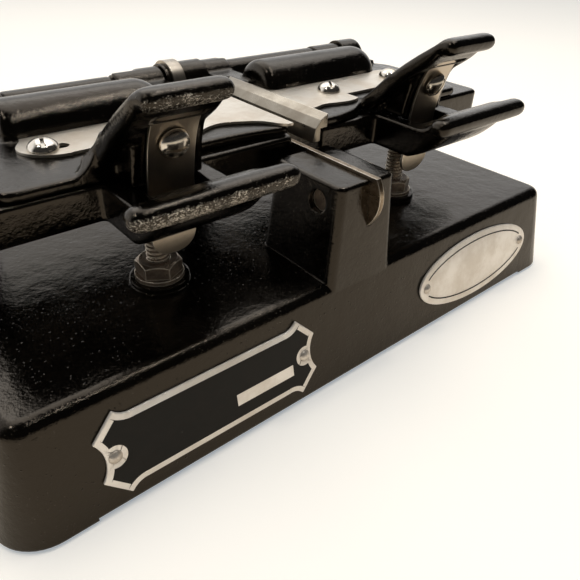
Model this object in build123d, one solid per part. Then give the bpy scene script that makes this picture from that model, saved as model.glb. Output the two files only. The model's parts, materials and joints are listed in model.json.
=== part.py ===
from build123d import *
import math
import os

os.makedirs("parts", exist_ok=True)

# Frame: origin on the table under the middle of the base, X along the front, Y to the rear, Z up.

# base casting
base_length = 217.0
base_depth = 108.4
draft_angle = 12.0
deck_height = 32.0
base_corner_radius = 12.0
deck_edge_radius = 3.6
base_wall = 6.0
deck_thickness = 7.0
foot_height = 1.2
skirt_lift = 1.9
foot_length = 20.0
pad_radius = 7.0
pad_inset = 13.0
boss_radius = 8.2
boss_height = 1.6
draft_slope = math.tan(math.radians(draft_angle))

# centre post and its blade
post_top = 60.0
post_left = -10.8
post_right = 10.0
post_side_slope = 0.08
post_rear = -19.6
post_setback = 7.6
post_front_top = -base_depth / 2 + post_setback
blade_thickness = 1.6
blade_x = 0.9
blade_bottom = 46.8
blade_rise = 0.9
blade_rear = -10.0
blade_screw_depth = 8.1
blade_screw_y = post_front_top + blade_screw_depth
blade_screw_z = 54.0
blade_screw_head_radius = 3.1
blade_screw_radius = 1.6

# hinge at the rear
hinge_y = 46.5
hinge_z = 65.1
rod_radius = 3.0
rod_clearance = 0.05
leaf_barrel_radius = 5.0
cover_barrel_radius = 6.1
lug_radius = 6.7
side_gap = 0.4
end_lug_outer = 88.6
end_lug_inner = 76.4
end_lug_radius = 6.3
end_lug_round = 3.6
cover_knuckle_inner = 62.0
cover_end_barrel_radius = 5.4
centre_lug_left = -9.0
centre_lug_right = 7.0
ring_left = -7.4
ring_width = 4.7
ring_thickness = 1.0
left_leaf_barrel_start = 27.0
right_leaf_barrel_start = 18.4

# lower leaves
film_plane = 63.8
leaf_thickness = 9.8
leaf_front = -17.0
leaf_rear = 37.0
leaf_outer = 91.0
leaf_inner_left = -0.9
leaf_inner_right = 9.6
leaf_front_corner = 3.0
leaf_rear_corner = 12.0
leaf_top_skin = 3.6
leaf_rim = 4.2
leaf_edge_radius = 1.0
leaf_bottom = film_plane - leaf_thickness

# handles, shared by lower leaves and covers
arm_centre = 47.6
arm_width = 27.4
latch_centre = 47.2
lower_tab_y = -46.0
lower_tab_z = 68.4
lower_tab_height = 5.6
lower_tab_depth = 7.0
lower_tab_length = 44.0
upper_tab_y = -38.0
upper_tab_z = 87.9
upper_tab_height = 5.0
upper_tab_depth = 6.6
upper_tab_length = 22.6
upper_arm_width = 23.5
upper_arm_left = 37.7
upper_arm_right = 33.9
arm_flare = 5.0

# covers
cover_gap = 0.3
cover_thickness = 2.5
cover_outer_left = 84.5
cover_outer_right = 78.0
cover_inner_left = -1.5
cover_inner_right = 11.4
inner_corner_left = 3.0
inner_corner_right = 0.0
cover_edge_radius = 1.0
cover_corner_radius = 5.0
cover_rear = 35.0
cover_bottom = film_plane + cover_gap
cover_top = cover_bottom + cover_thickness
swoop_thickness = 4.4
web_width = 19.0
hump_y = 22.0
hump_radius = 9.6
hump_wall = 2.6
hump_end_radius = 3.5
hump_left_reach = (72.5, 22.0)
hump_right_reach = (13.5, 69.0)

# front edge of each cover between its inner end and its arm, measured from the inner end
cover_front_left = ((5.0, -15.6), (13.0, -14.2), (30.0, -13.4))
cover_front_right = ((9.0, -16.4), (15.5, -14.3), (22.1, -10.9))
plate_front_left = ((1.4, -16.4), (5.7, -11.3), (12.2, -7.0), (17.6, -5.2), (23.0, -6.2), (28.0, -8.6))
plate_front_right = ((3.0, -8.8), (6.6, -7.9), (13.2, -9.0), (20.0, -9.3), (25.2, -7.4))

# bar along the inner edge of the right cover
bar_front = -17.4
bar_rear = 32.6
bar_left = 5.6
bar_crest = 6.6
bar_skirt_width = 3.0
bar_skirt_drop = 3.6
bar_lip = 0.8

# nickel plates
plate_thickness = 0.8
plate_tip = 72.0
plate_rear = 13.6
plate_end_front = -3.2
film_plate_thickness = 1.2
film_plate_front = -9.0
film_plate_depth = 35.0
film_plate_outer = 72.0
film_middle = film_plate_front + film_plate_depth / 2
pin_pitch = 4.75
pin_row_spacing = 28.2
pin_radius = 0.9
pin_height = 1.0
pin_count = 3

# stop screws with their nuts
stop_y = -16.1
stop_x = 48.1
stop_radius = 3.175
stop_foot = 18.0
washer_radius = 6.75
washer_thickness = 1.2
nut_across_flats = 11.1
nut_height = 4.0
nut_turn = 27.0
thread_gap = 0.06
seat_gap = 0.05

# latch springs
strip_width = 12.6
strip_thickness = 0.8
strip_play = 0.5
strip_top_play = 1.1
strip_top = 83.4
tongue_bottom = 44.0
tongue_radius = 5.4
latch_screw_length = 4.2
latch_screw_z = 74.2
screw_head_radius = 3.9
screw_head_height = 2.8
screw_shank_radius = 1.6
cover_screw_spots_left = ((31.5, 4.4), (66.5, 2.4))
cover_screw_spots_right = ((30.8, 2.8), (63.6, 4.6))
cover_slot_half = 1.75

# badges on the front face
nameplate_x = -53.1
nameplate_z = 15.57
nameplate_half_width = 28.35
nameplate_tip = 32.46
nameplate_tip_z = 5.49
nameplate_ear_x = 26.52
nameplate_half_height = 9.58
nameplate_ear = 11.55
badge_thickness = 0.8
oval_x = 57.6
oval_z = 15.72
oval_width = 63.0
oval_height = 22.6
oval_pin_inset = 3.4
oval_pin_spacing = oval_width - 2 * oval_pin_inset
pin_head_radius = 1.7
pin_head_height = 0.9
badge_gap = 0.05

RIGHT = 1
LEFT = -1


def box_between(x0, x1, y0, y1, z0, z1):
    low_x, high_x = sorted((x0, x1))
    middle = ((low_x + high_x) / 2, (y0 + y1) / 2, (z0 + z1) / 2)
    return Pos(*middle) * Box(high_x - low_x, y1 - y0, z1 - z0)


def rod_along_x(radius, x0, x1, y, z):
    low_x, high_x = sorted((x0, x1))
    return Pos((low_x + high_x) / 2, y, z) * Rot(0, 90, 0) * Cylinder(radius, high_x - low_x)


def side_plane(x):
    return Plane(origin=(x, 0, 0), x_dir=(0, 1, 0), z_dir=(1, 0, 0))


def prism_along_x(sketch_face, x0, x1):
    low_x, high_x = sorted((x0, x1))
    return extrude(side_plane(low_x) * sketch_face, high_x - low_x)


def hinge_bore(x0, x1):
    return rod_along_x(rod_radius + rod_clearance, x0, x1, hinge_y, hinge_z)


def try_fillet(shape, edges, radius):
    try:
        rounded = fillet(edges, radius)
        if rounded.is_valid and rounded.volume > 0:
            return rounded
    except Exception:
        pass
    return shape


def front_face_plane(x, z):
    front_y = -base_depth / 2 + draft_slope * z
    outward = Vector(0, -math.cos(math.radians(draft_angle)), math.sin(math.radians(draft_angle)))
    return Plane(origin=(x, front_y, z), x_dir=(1, 0, 0), z_dir=outward)


def round_bar(length, height, depth, x, y, z):
    profile = SlotOverall(depth, height)
    bar = prism_along_x(Pos(y, z) * profile, x - length / 2, x + length / 2)
    ends = bar.edges().filter_by_position(Axis.X, x - length / 2, x - length / 2)
    bar = try_fillet(bar, ends, height * 0.46)
    ends = bar.edges().filter_by_position(Axis.X, x + length / 2, x + length / 2)
    return try_fillet(bar, ends, height * 0.46)


def save(shape, name):
    shape.label = name
    export_step(shape, "parts/" + name + ".step")


# --- base casting


def make_base():
    outline = RectangleRounded(base_length, base_depth, base_corner_radius)
    body = extrude(outline, deck_height, taper=draft_angle)
    body -= Pos(0, 0, foot_height / 2) * Box(base_length + 2, base_depth + 2, foot_height)
    top_edges = body.edges().group_by(Axis.Z)[-1]
    body = try_fillet(body, top_edges, deck_edge_radius)

    post_root = deck_height - 6
    root_shift = (post_top - post_root) * post_side_slope
    front_root = -base_depth / 2 + draft_slope * (post_root + 2.4)
    sections = []
    for level, shift, front in ((post_root, root_shift, front_root), (post_top, 0, post_front_top)):
        width = post_right - post_left + 2 * shift
        rear = post_rear + shift
        middle = ((post_left + post_right) / 2, (front + rear) / 2, level)
        sections.append(Pos(*middle) * RectangleRounded(width, rear - front, 2.4))
    post = loft(sections)
    post = try_fillet(post, post.edges().group_by(Axis.Z)[-1], 1.2)
    body += post

    for side in (LEFT, RIGHT):
        x0 = side * end_lug_inner
        x1 = side * end_lug_outer
        column = box_between(x0, x1 - side * end_lug_round, hinge_y - end_lug_radius * 0.8, hinge_y + 3.4,
                             deck_height - 1, hinge_z)
        lug = rod_along_x(end_lug_radius, x0, x1, hinge_y, hinge_z)
        rim = lug.edges().filter_by(GeomType.CIRCLE).sort_by(Axis.X)[-1 if side == RIGHT else 0]
        body += column + try_fillet(lug, [rim], end_lug_round)
    column = box_between(centre_lug_left, centre_lug_right, hinge_y - lug_radius * 0.8,
                         hinge_y + 3.4, deck_height - 1, hinge_z)
    body += column + rod_along_x(lug_radius, centre_lug_left, centre_lug_right, hinge_y, hinge_z)

    for side in (LEFT, RIGHT):
        body += Pos(side * stop_x, stop_y, deck_height) * Cylinder(boss_radius, 2 * boss_height)

    # hollow underside with two cross ribs, round bosses for the stop screws and four foot pads
    room = RectangleRounded(base_length - 2 * base_wall, base_depth - 2 * base_wall,
                            base_corner_radius - base_wall / 2)
    cavity = extrude(room, deck_height - deck_thickness, taper=draft_angle)
    for side in (LEFT, RIGHT):
        rib_x = side * base_length / 6
        cavity -= box_between(rib_x - 2, rib_x + 2, -base_depth, base_depth, 8, deck_height)
        cavity -= Pos(side * stop_x, stop_y, deck_height) * Cylinder(boss_radius, 2 * (deck_height - stop_foot))
    body -= cavity
    for side in (LEFT, RIGHT):
        for end in (LEFT, RIGHT):
            spot = Pos(side * (base_length / 2 - pad_inset), end * (base_depth / 2 - pad_inset), 0)
            body += spot * Cylinder(pad_radius, deck_height - deck_thickness / 2,
                                    align=(Align.CENTER, Align.CENTER, Align.MIN))

    # skirt raised between the four feet
    for span, reach, turn in ((base_length, base_depth, 0), (base_depth, base_length, 90)):
        opening = span - 2 * foot_length
        slot = Pos(0, 0, skirt_lift / 2) * Rot(0, 0, turn) * Box(opening, reach + 10, skirt_lift)
        body -= slot

    # threaded holes for the stop screws
    for side in (LEFT, RIGHT):
        hole = Pos(side * stop_x, stop_y, deck_height) * Cylinder(stop_radius + thread_gap, 40)
        body -= hole

    # blade slot, and the screw hole from the left face
    slot_half = blade_thickness / 2 + 0.1
    body -= box_between(blade_x - slot_half, blade_x + slot_half, -60, post_rear + 6,
                        blade_bottom - 0.1, post_top + 5)
    body -= rod_along_x(blade_screw_radius + 0.1, post_left - 6, post_right - 4,
                        blade_screw_y, blade_screw_z)
    body -= rod_along_x(blade_screw_head_radius + 0.15, post_left - 8, post_left + 3.4,
                        blade_screw_y, blade_screw_z)
    body -= hinge_bore(-end_lug_outer - 1, end_lug_outer + 1)

    # seat for the ring round the centre lug
    ring_right = ring_left + ring_width
    groove = rod_along_x(lug_radius + 3, ring_left - 0.1, ring_right + 0.1, hinge_y, hinge_z)
    groove -= rod_along_x(lug_radius - 0.9, ring_left - 1, ring_right + 1, hinge_y, hinge_z)
    body -= groove - box_between(-40, 40, hinge_y - 20, hinge_y + 20, 0, hinge_z - 5)
    return body


base_casting = make_base()


def make_ring():
    ring_right = ring_left + ring_width
    outer = lug_radius + ring_thickness
    ring = rod_along_x(outer, ring_left, ring_right, hinge_y, hinge_z)
    ring -= rod_along_x(lug_radius - 0.9 + 0.05, ring_left - 1, ring_right + 1, hinge_y, hinge_z)
    return ring - box_between(-40, 40, hinge_y - 20, hinge_y + 20, 0, hinge_z - 4.9)


def make_blade():
    top = post_top + blade_rise
    front_top = post_front_top + 0.7
    with BuildSketch() as profile:
        with BuildLine():
            nose = Spline((front_top - 1.4, blade_bottom), (front_top - 4.6, (top + blade_bottom) / 2 + 2),
                          (front_top - 2.6, top))
            Polyline(nose @ 1, (blade_rear, top), (blade_rear, top - 6), (post_rear + 5, top - 7),
                     (post_rear + 5, blade_bottom), nose @ 0)
        make_face()
    blade = prism_along_x(profile.sketch, blade_x - blade_thickness / 2, blade_x + blade_thickness / 2)
    return blade - rod_along_x(blade_screw_radius + 0.1, -6, 6, blade_screw_y, blade_screw_z)


def make_blade_screw():
    shank = rod_along_x(blade_screw_radius, post_left + 2, post_right - 4.5, blade_screw_y, blade_screw_z)
    head_end = post_left + 1.0
    head = rod_along_x(blade_screw_head_radius, head_end, post_left + 3.3, blade_screw_y, blade_screw_z)
    return shank + head


# --- hardware


def make_stop_screw():
    top = leaf_bottom - seat_gap
    screw = Pos(0, 0, (stop_foot + top) / 2) * Cylinder(stop_radius, top - stop_foot)
    return chamfer(screw.edges().group_by(Axis.Z)[-1], 0.5)


def make_nut():
    blank = extrude(RegularPolygon(nut_across_flats / 2, 6, major_radius=False), nut_height)
    dome = Cone(nut_across_flats, nut_across_flats / 2 - 0.4, nut_height,
                align=(Align.CENTER, Align.CENTER, Align.MIN))
    nut = blank & dome
    nut -= Cylinder(stop_radius + thread_gap, 4 * nut_height)
    return Pos(0, 0, deck_height + boss_height + washer_thickness + 2 * seat_gap) * nut


def make_washer():
    washer = Cylinder(washer_radius, washer_thickness) - Cylinder(stop_radius + 0.3, 10)
    return Pos(0, 0, deck_height + boss_height + seat_gap + washer_thickness / 2) * washer


def round_head_screw(length, head_radius=screw_head_radius, head_height=screw_head_height,
                     shank_radius=screw_shank_radius):
    ball_radius = (head_radius ** 2 + head_height ** 2) / (2 * head_height)
    dome = Pos(0, 0, head_height - ball_radius) * Sphere(ball_radius)
    keep = Pos(0, 0, head_height / 2) * Box(4 * head_radius, 4 * head_radius, head_height)
    shank = Pos(0, 0, -length / 2) * Cylinder(shank_radius, length)
    return (dome & keep) + shank


stop_pair = [Pos(side * stop_x, stop_y, 0) for side in (LEFT, RIGHT)]
stop_screws = Compound([spot * make_stop_screw() for spot in stop_pair])
lock_nuts = Compound([spot * Rot(0, 0, nut_turn) * make_nut() for spot in stop_pair])
lock_washers = Compound([spot * make_washer() for spot in stop_pair])


# --- badges


def make_nameplate():
    ear = (nameplate_ear_x, nameplate_ear)
    side = (nameplate_tip, nameplate_tip_z)
    flat = (nameplate_ear_x - 4.6, nameplate_half_height)
    with BuildSketch() as outline:
        with BuildLine():
            top = Line((0, flat[1]), flat)
            scoop = ThreePointArc(top @ 1, (flat[0] + 2.9, flat[1] + 0.55), ear)
            chamfer_edge = Line(scoop @ 1, side)
            waist = ThreePointArc(chamfer_edge @ 1, (nameplate_half_width + 2.2, 0), (side[0], -side[1]))
            low_chamfer = Line(waist @ 1, (ear[0], -ear[1]))
            low_scoop = ThreePointArc(low_chamfer @ 1, (flat[0] + 2.9, -flat[1] - 0.55), (flat[0], -flat[1]))
            Line(low_scoop @ 1, (0, -flat[1]))
            Line((0, -flat[1]), (0, flat[1]))
        make_face()
        mirror(about=Plane.YZ)
    return outline.sketch


def badge_from(sketch_face, x, z, pin_offset):
    plate = Pos(0, 0, badge_gap) * extrude(sketch_face, badge_thickness)
    for side in (LEFT, RIGHT):
        plate -= Pos(side * pin_offset, 0, 0) * Cylinder(0.9, 6)
    return front_face_plane(x, z).location * plate


def badge_pins(x, z, pin_offset):
    seat = badge_gap * 2 + badge_thickness
    pins = []
    for side in (LEFT, RIGHT):
        pin = Pos(0, 0, seat) * round_head_screw(3.2, pin_head_radius, pin_head_height, 0.8)
        pins.append(front_face_plane(x, z).location * Pos(side * pin_offset, 0, 0) * pin)
    return Compound(pins)


nameplate = badge_from(make_nameplate(), nameplate_x, nameplate_z, nameplate_half_width)
nameplate_pins = badge_pins(nameplate_x, nameplate_z, nameplate_half_width)
oval_badge = badge_from(Ellipse(oval_width / 2, oval_height / 2), oval_x, oval_z, oval_pin_spacing / 2)
oval_badge_pins = badge_pins(oval_x, oval_z, oval_pin_spacing / 2)
for pin_x, pin_z, offset in ((nameplate_x, nameplate_z, nameplate_half_width),
                             (oval_x, oval_z, oval_pin_spacing / 2)):
    for side in (LEFT, RIGHT):
        drill = Pos(side * offset, 0, -2) * Cylinder(0.85, 8)
        base_casting -= front_face_plane(pin_x, pin_z).location * drill


# --- lower leaves


def strip_line(lift=0.0):
    rise = cover_bottom
    return [(-24.1 - lift, tongue_bottom), (-24.9 - lift, rise - 10), (-25.5 - lift, rise + 2),
            (-26.6 - lift, latch_screw_z - 2), (-28.4 - lift, latch_screw_z + 3.4),
            (-31.9 - lift, strip_top + lift)]


def leaf_outline(inner, inner_corner):
    width = leaf_outer - inner
    slab = Pos(inner + width / 2, (leaf_front + leaf_rear) / 2) * Rectangle(width, leaf_rear - leaf_front)
    slab = fillet(slab.vertices().group_by(Axis.X)[-1].sort_by(Axis.Y)[-1], leaf_rear_corner)
    slab = fillet(slab.vertices().group_by(Axis.X)[-1].sort_by(Axis.Y)[0], leaf_front_corner)
    if inner_corner > 0:
        slab = fillet(slab.vertices().group_by(Axis.X)[0].sort_by(Axis.Y)[0], inner_corner)
    return slab


def soften_front(slab, radius):
    rim = [edge for edge in slab.edges().group_by(Axis.Z)[-1] if edge.center().Y < 0]
    return try_fillet(slab, rim, radius)


def film_outline(inner, grow=0.0):
    width = film_plate_outer - inner + grow
    return Pos(inner + width / 2, film_middle) * Rectangle(width, film_plate_depth + 2 * grow)


def lower_leaf(inner, inner_corner, barrel_start, plate_inner):
    leaf = Pos(0, 0, leaf_bottom) * extrude(leaf_outline(inner, inner_corner), leaf_thickness)
    leaf = soften_front(leaf, leaf_edge_radius)

    # ribbed underside
    rib = 3.0
    bays = 3
    start = inner + leaf_rim
    pitch = (leaf_outer - leaf_rim - start + rib) / bays
    for bay in range(bays):
        x0 = start + bay * pitch
        pocket = box_between(x0, x0 + pitch - rib, leaf_front + leaf_rim, leaf_rear - leaf_rim,
                             leaf_bottom - 1, film_plane - leaf_top_skin)
        pocket = try_fillet(pocket, pocket.edges().filter_by(Axis.Z), 3)
        leaf -= pocket
    pad = Pos(stop_x, stop_y, leaf_bottom) * Cylinder(7, leaf_thickness - 2,
                                                      align=(Align.CENTER, Align.CENTER, Align.MIN))
    leaf += pad

    # arm with its raised finger tab
    arm_left = arm_centre - arm_width / 2
    tab_front = lower_tab_y - lower_tab_depth / 2
    with BuildSketch() as profile:
        with BuildLine():
            top = Line((leaf_front + 6, film_plane), (-32.0, film_plane))
            sweep_up = Spline(top @ 1, (-37.5, film_plane + 2.0), (-42.5, lower_tab_z + 2.2),
                              tangents=((-1, 0), (-1, 0.35)))
            front = Line(sweep_up @ 1, (lower_tab_y, lower_tab_z - 2.8))
            under = Spline(front @ 1, (-38.5, leaf_bottom + 4.0), (-31.0, leaf_bottom))
            back = Line(under @ 1, (leaf_front + 6, leaf_bottom))
            Line(back @ 1, top @ 0)
        make_face()
    arm = prism_along_x(profile.sketch, arm_left, arm_left + arm_width)
    tab = round_bar(lower_tab_length, lower_tab_height, lower_tab_depth, arm_centre, lower_tab_y, lower_tab_z)
    leaf += arm
    leaf += tab

    # window that the latch tongue drops through
    leaf -= box_between(latch_centre - strip_width / 2 - 1.4, latch_centre + strip_width / 2 + 1.4,
                        -30.4, -22.3, leaf_bottom - 4, lower_tab_z + 8)

    # barrel round the hinge rod
    bridge = box_between(barrel_start, cover_knuckle_inner - side_gap, leaf_rear - 5, hinge_y,
                         hinge_z - leaf_barrel_radius + 0.3, film_plane - 0.2)
    barrel = rod_along_x(leaf_barrel_radius, barrel_start, cover_knuckle_inner - side_gap, hinge_y, hinge_z)
    leaf += bridge
    leaf += barrel
    leaf -= hinge_bore(barrel_start - 1, cover_knuckle_inner + 1)

    # recess for the film plate and holes for its pins
    recess = extrude(film_outline(plate_inner - 1, 0.15), film_plate_thickness + 5)
    leaf -= Pos(0, 0, film_plane - film_plate_thickness - 0.05) * recess
    for x, y in pin_spots(plate_inner):
        leaf -= Pos(x, y, film_plane - 3) * Cylinder(pin_radius + 0.05, 8)
    return leaf


def pin_spots(plate_inner):
    spots = []
    for row in (-1, 1):
        for index in range(pin_count):
            spots.append((plate_inner + 12 + index * pin_pitch * 3, film_middle + row * pin_row_spacing / 2))
    return spots


def film_plate(plate_inner):
    plate = extrude(film_outline(plate_inner), film_plate_thickness)
    for x, y in pin_spots(plate_inner):
        plate -= Pos(x, y, 0) * Cylinder(pin_radius + 0.05, 8)
    return Pos(0, 0, film_plane - film_plate_thickness) * plate


def film_pins(plate_inner):
    pins = []
    for x, y in pin_spots(plate_inner):
        pin = Cylinder(pin_radius, 4.0, align=(Align.CENTER, Align.CENTER, Align.MAX))
        pins.append(Pos(x, y, film_plane + pin_height) * pin)
    return Compound(pins)


# --- covers


def hump_body(reach, shrink=0.0):
    flat_end, round_end = reach
    toward = 1 if round_end > flat_end else -1
    radius = hump_radius - shrink
    start = flat_end + toward * shrink
    middle = round_end - toward * hump_radius
    ridge = rod_along_x(radius, start, middle, hump_y, cover_top - 1.0)
    rim = ridge.edges().filter_by_position(Axis.X, start - 0.01, start + 0.01)
    ridge = try_fillet(ridge, rim, hump_end_radius - shrink / 2)
    return ridge + Pos(middle, hump_y, cover_top - 1.0) * Sphere(radius)


def swoop_line(drop=0.0):
    return [(-5.0, cover_top - 1.6 - drop), (-9.6, cover_top + 0.8 - drop), (-14.0, cover_top + 4.8 - drop),
            (-18.6, cover_top + 9.4 - drop), (-24.0, cover_top + 14.2 - drop),
            (-30.0, cover_top + 18.6 - drop), (-36.0, cover_top + 22.6 - drop)]


def cover_outline(inner, outer, inner_corner, front_points, x0):
    lip_points = [(inner + x, y) for x, y in front_points]
    with BuildSketch() as outline:
        with BuildLine():
            lip = Spline((inner, leaf_front), *lip_points, (x0 + 2.0, lip_points[-1][1]))
            Polyline(lip @ 1, (x0 + 2.0, leaf_front), (outer, leaf_front), (outer, cover_rear),
                     (inner, cover_rear), lip @ 0)
        make_face()
    plan = fillet(outline.sketch.vertices().group_by(Axis.X)[-1], cover_corner_radius)
    if inner_corner > 0:
        corner = plan.vertices().group_by(Axis.X)[0].sort_by(Axis.Y)[0]
        plan = fillet(corner, inner_corner)
    return plan


def flared_foot(edge_x):
    """Widening of the arm's outer side where it runs down to the cover."""
    end_y = swoop_line()[-1][0]
    start_y, start_z = swoop_line()[0]
    with BuildSketch() as under:
        with BuildLine():
            top = Spline(*swoop_line())
            Polyline(top @ 1, (end_y, cover_bottom), (start_y, cover_bottom), (start_y, start_z))
        make_face()
    with BuildSketch() as side_curve:
        with BuildLine():
            curve = Spline((edge_x + arm_flare, cover_top), (edge_x + arm_flare * 0.4, cover_top + 2.4),
                           (edge_x, cover_top + 8.0))
            Polyline(curve @ 1, (edge_x - 4, cover_top + 8.0), (edge_x - 4, cover_bottom),
                     (edge_x + arm_flare, cover_bottom), curve @ 0)
        make_face()
    with BuildSketch() as plan:
        with BuildLine():
            Polyline((edge_x - 4, -5.6), (edge_x + arm_flare, leaf_front + 1.5), (edge_x + arm_flare, leaf_front),
                     (edge_x - 4, leaf_front), (edge_x - 4, -5.6))
        make_face()
    foot = prism_along_x(under.sketch, edge_x - 4, edge_x + arm_flare)
    foot &= extrude(Plane.XZ * side_curve.sketch, 40)
    return foot & Pos(0, 0, cover_bottom) * extrude(plan.sketch, 30)


def cover(inner, outer, inner_corner, front_points, x0, reach, knuckle_inner, knuckle_outer, spots):
    plan = cover_outline(inner, outer, inner_corner, front_points, x0)
    casting = Pos(0, 0, cover_bottom) * extrude(plan, cover_thickness)
    casting = soften_front(casting, cover_edge_radius)

    # arm: curved outer sheet over a narrower web
    with BuildSketch() as sheet:
        with BuildLine():
            top = Spline(*swoop_line())
            end = Line(top @ 1, (upper_tab_y + 1.5, upper_tab_z - 2.2))
            low = Spline(end @ 1, *reversed([(y - 2.8, z - swoop_thickness + 0.8) for y, z in swoop_line()[1:-1]]),
                         (-9.5, cover_bottom))
            foot = Line(low @ 1, (-5.0, cover_bottom))
            Line(foot @ 1, top @ 0)
        make_face()
    below = box_between(0, 100, -60, 0, cover_bottom - 10, cover_bottom)
    casting += prism_along_x(sheet.sketch, x0, x0 + upper_arm_width) - below
    casting += flared_foot(x0 + upper_arm_width)
    front = strip_line(-strip_thickness - 0.25)[2:]
    with BuildSketch() as web:
        with BuildLine():
            face_line = Spline((front[0][0], cover_bottom), *front)
            rear_points = [(y - 1.6, z - 1.2) for y, z in swoop_line()[1:-2]]
            cap = Line(face_line @ 1, (rear_points[-1][0], rear_points[-1][1]))
            back = Spline(*reversed(rear_points))
            heel = Line(back @ 1, (rear_points[0][0], cover_bottom))
            Line(heel @ 1, face_line @ 0)
        make_face()
    casting += prism_along_x(web.sketch, latch_centre - web_width / 2, latch_centre + web_width / 2)
    casting += round_bar(upper_tab_length, upper_tab_height, upper_tab_depth,
                         x0 + upper_arm_width / 2, upper_tab_y, upper_tab_z)
    casting -= strip_body(strip_play)
    slot_half = strip_width / 2 + strip_play
    crown_y = strip_line()[-1][0]
    casting -= box_between(latch_centre - slot_half, latch_centre + slot_half, crown_y - strip_top_play,
                           crown_y + strip_thickness + strip_top_play,
                           strip_top - 2 * strip_top_play, strip_top + strip_top_play)

    # ridge, hollow beneath
    ridge = hump_body(reach)
    ridge -= box_between(-200, 200, -60, 60, cover_bottom - 40, cover_bottom)
    casting += ridge
    casting -= hump_body(reach, hump_wall)

    # knuckles
    arm_low = cover_bottom
    arm_high = cover_top + 1.4
    neck_start = bar_rear + 0.9
    for a, b, radius in ((knuckle_inner, knuckle_outer, cover_barrel_radius),
                         (cover_knuckle_inner, end_lug_inner - side_gap, cover_end_barrel_radius)):
        casting += box_between(max(a, inner), b, 24, hinge_y, arm_low, arm_high)
        casting += box_between(a, b, neck_start, hinge_y, arm_low, arm_high)
        casting += rod_along_x(radius, a, b, hinge_y, hinge_z)
    step = min(knuckle_outer, knuckle_inner + 8.4)
    casting -= (rod_along_x(cover_barrel_radius + 1, step, knuckle_outer + 1, hinge_y, hinge_z)
                - rod_along_x(cover_barrel_radius - 0.8, step - 1, knuckle_outer + 2, hinge_y, hinge_z)
                - box_between(0, 100, 0, hinge_y, 0, 100)
                - box_between(0, 100, 0, 100, 0, hinge_z - 2))
    brace = box_between(cover_knuckle_inner, end_lug_inner - side_gap, hump_y, cover_rear, arm_low, cover_top)
    casting += brace
    casting -= hinge_bore(-1, end_lug_outer)

    # grooves under the cover for the two rows of film pins
    for row in (-1, 1):
        groove_y = film_middle + row * pin_row_spacing / 2
        casting -= box_between(inner - 1, film_plate_outer, groove_y - 1.6, groove_y + 1.6,
                               cover_bottom - 1, cover_bottom + pin_height + 0.3)
    for x, y in spots:
        casting -= Pos(x, y, cover_top) * Cylinder(screw_shank_radius + 0.1, 12)
    casting -= latch_screw_place() * Pos(0, 0, -3.9) * Cylinder(screw_shank_radius + 0.05, 8)
    return casting


def latch_screw_place():
    tilt = math.degrees(math.atan2(1.8, 5.4))
    return Pos(latch_centre, -27.3, latch_screw_z) * Rot(90 + tilt, 0, 0)


def plate_outline(inner, front_points, rear_reach):
    tip_points = ((plate_tip - 1.8, plate_end_front + 3.8), (plate_tip, plate_end_front + 9.2),
                  (plate_tip - 2.6, plate_rear - 2.6))
    with BuildSketch() as outline:
        with BuildLine():
            front = Spline((inner, front_points[0][1]), *[(inner + x, y) for x, y in front_points],
                           (plate_tip - 20.0, plate_end_front - 2.8), (plate_tip - 8.0, plate_end_front))
            tip = Spline(front @ 1, *tip_points, (plate_tip - 10.0, plate_rear),
                         tangents=((1, 0.3), (-1, 0)))
            back = Line(tip @ 1, (inner + 16, plate_rear))
            bend = ThreePointArc(back @ 1, (inner + 10.0, plate_rear + 2.2), (inner + 7.4, plate_rear + 7.0))
            back_edge = Line(bend @ 1, (inner + 7.4, rear_reach))
            rear = Line(back_edge @ 1, (inner, rear_reach))
            Line(rear @ 1, front @ 0)
        make_face()
    return outline.sketch


def cover_plate(inner, front_points, x0, rear_reach, reach, spots, slot_reach):
    outline = plate_outline(inner, front_points, rear_reach)
    plate = Pos(0, 0, cover_top + seat_gap) * extrude(outline, plate_thickness)
    plate -= hump_body(reach, -0.2)
    plate -= box_between(x0 - 0.4, x0 + upper_arm_width + 0.4, -60, plate_end_front,
                         cover_top - 1, cover_top + 10)
    for x, y in spots:
        slot = Pos(x, y, cover_top) * Cylinder(cover_slot_half, 12)
        slot += Pos(x + slot_reach, y, cover_top) * Cylinder(cover_slot_half, 12)
        slot += box_between(x, x + slot_reach, y - cover_slot_half, y + cover_slot_half,
                            cover_bottom, cover_top + 6)
        plate -= slot
    solids = plate.solids().sort_by(SortBy.VOLUME)
    return solids[-1]


def cover_screws(spots):
    seat = cover_top + plate_thickness + 2 * seat_gap
    return Compound([Pos(x, y, seat) * Rot(0, 0, 35 * x) * round_head_screw(3.0) for x, y in spots])


def strip_body(grow=0.0):
    front = strip_line(grow)
    rear = [(y + strip_thickness + 2 * grow, z) for y, z in front]
    with BuildSketch() as section:
        with BuildLine():
            outside = Spline(*front)
            cap = Line(outside @ 1, rear[-1])
            inside = Spline(*reversed(rear))
            Line(inside @ 1, outside @ 0)
        make_face()
    half = strip_width / 2 + grow
    return prism_along_x(section.sketch, latch_centre - half, latch_centre + half)


def latch_spring():
    strip = strip_body()
    low = strip.faces().sort_by(Axis.Z)[0].edges().filter_by(Axis.Y)
    strip = try_fillet(strip, low, tongue_radius)
    hole = latch_screw_place() * Cylinder(screw_shank_radius + 0.25, 8)
    return strip - hole


def latch_screw():
    return latch_screw_place() * Pos(0, 0, 0.28) * Rot(0, 0, 20) * round_head_screw(latch_screw_length)


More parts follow.
